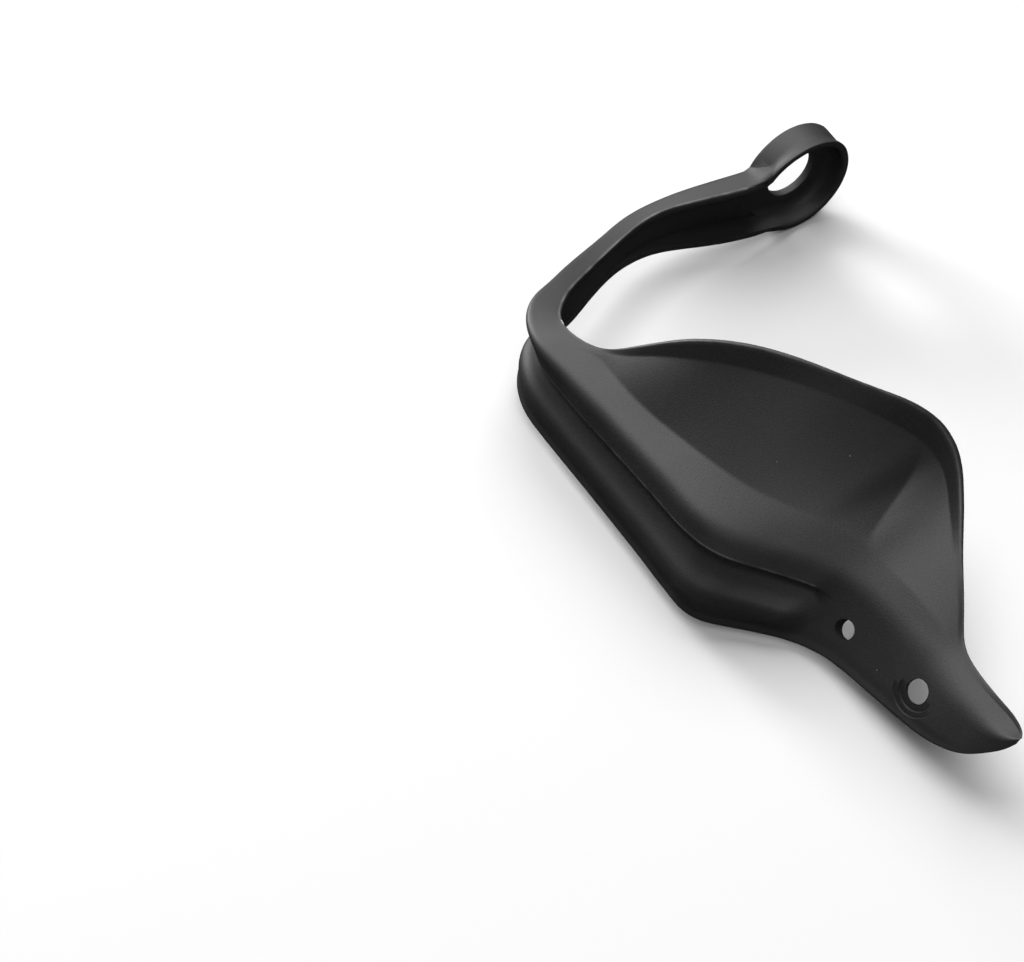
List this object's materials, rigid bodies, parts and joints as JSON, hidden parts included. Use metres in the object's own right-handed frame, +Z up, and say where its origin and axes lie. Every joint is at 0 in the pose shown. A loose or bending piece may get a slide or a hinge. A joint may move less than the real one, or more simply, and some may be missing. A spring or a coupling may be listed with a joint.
{
  "type": "motorcycle hand guard",
  "caption": "Right-hand motorcycle hand guard: bar-end cup, channel-section arm, elbow, curved wind deflector with rolled lip, front skirt and drilled mounting tongue, moulded in one piece.",
  "frame": {"origin": "centre of the bar-end bore, on the pad face that the bar end seats on", "axes": "+X along the bore axis, outboard; +Y forward, the way the arm reaches; +Z up"},
  "size_m": [0.2329, 0.1545, 0.0649],
  "materials": {
    "black_plastic": "fine grained matte black moulding"
  },
  "bodies": {
    "root": {"hand_guard": "black_plastic"}
  },
  "joints": []
}
